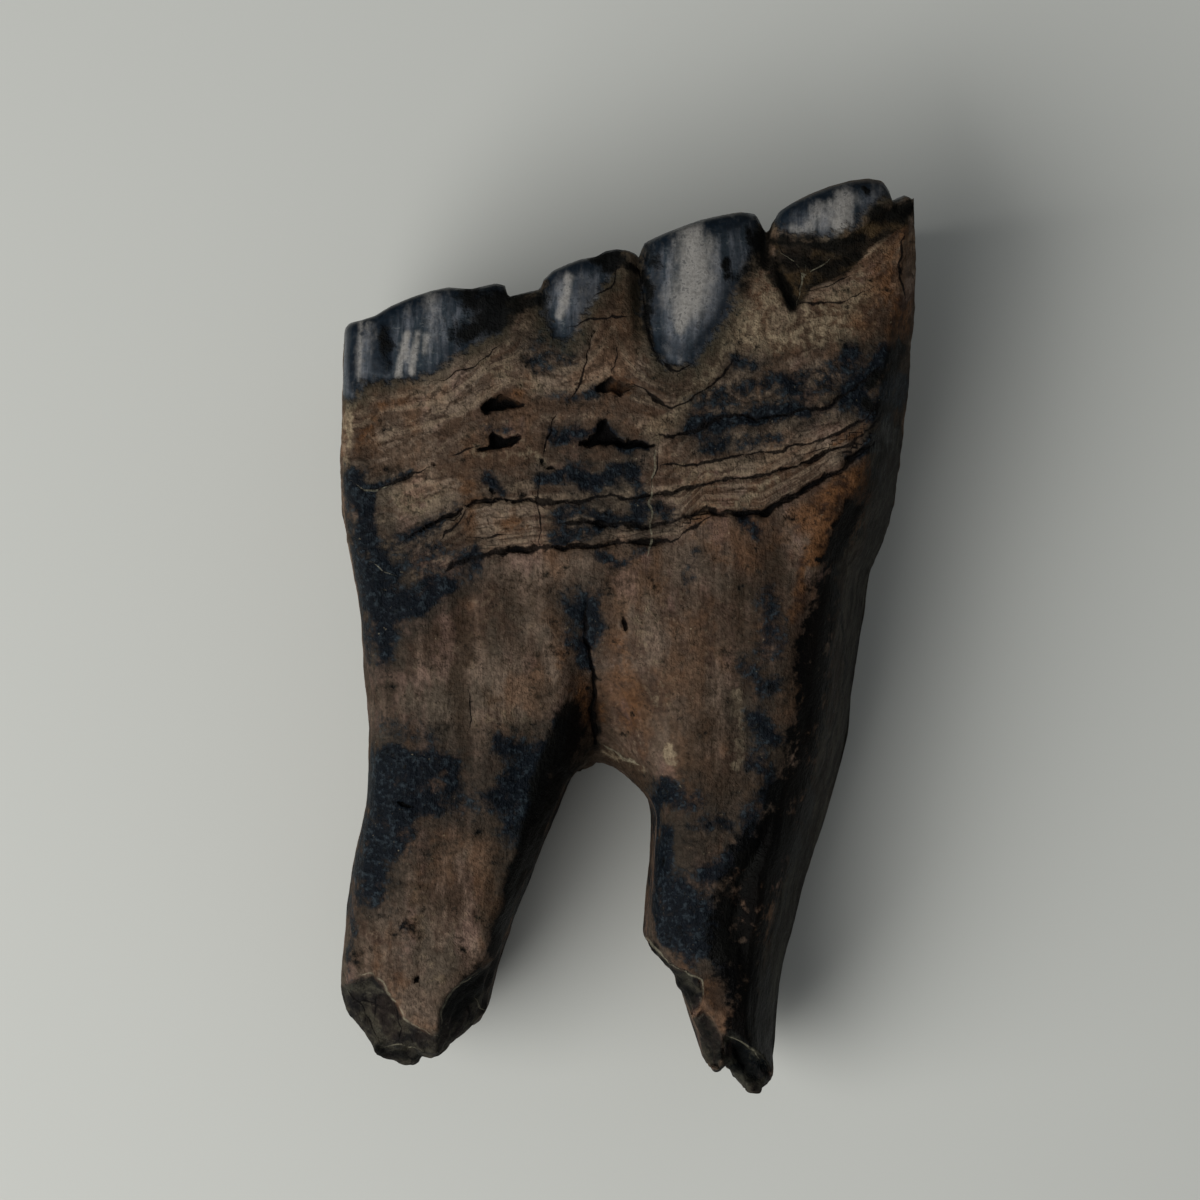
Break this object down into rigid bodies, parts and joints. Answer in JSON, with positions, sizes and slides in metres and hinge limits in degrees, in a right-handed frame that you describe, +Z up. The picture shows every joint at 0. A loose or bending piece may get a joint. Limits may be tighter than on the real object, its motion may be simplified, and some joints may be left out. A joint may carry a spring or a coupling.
{
  "type": "fossil horse tooth",
  "caption": "Fossil horse cheek tooth lying on its side: a worn, cement-covered crown with a scalloped enamel rim on two long roots with broken ends.",
  "frame": {"origin": "middle of the bounding box in X and Y, at the height of the surface that the tooth rests on", "axes": "+X across the tooth, from its rear lobe to its front lobe; +Y from the root tips to the chewing end; +Z up, out of the face that shows"},
  "size_m": [0.0296, 0.047, 0.0153],
  "materials": {
    "fossil_tooth": "tan cementum stained blue-black and orange-brown, satin; polished blue-black enamel with pale streaks along the chewing rim"
  },
  "bodies": {
    "root": {"tooth": "fossil_tooth"}
  },
  "joints": []
}
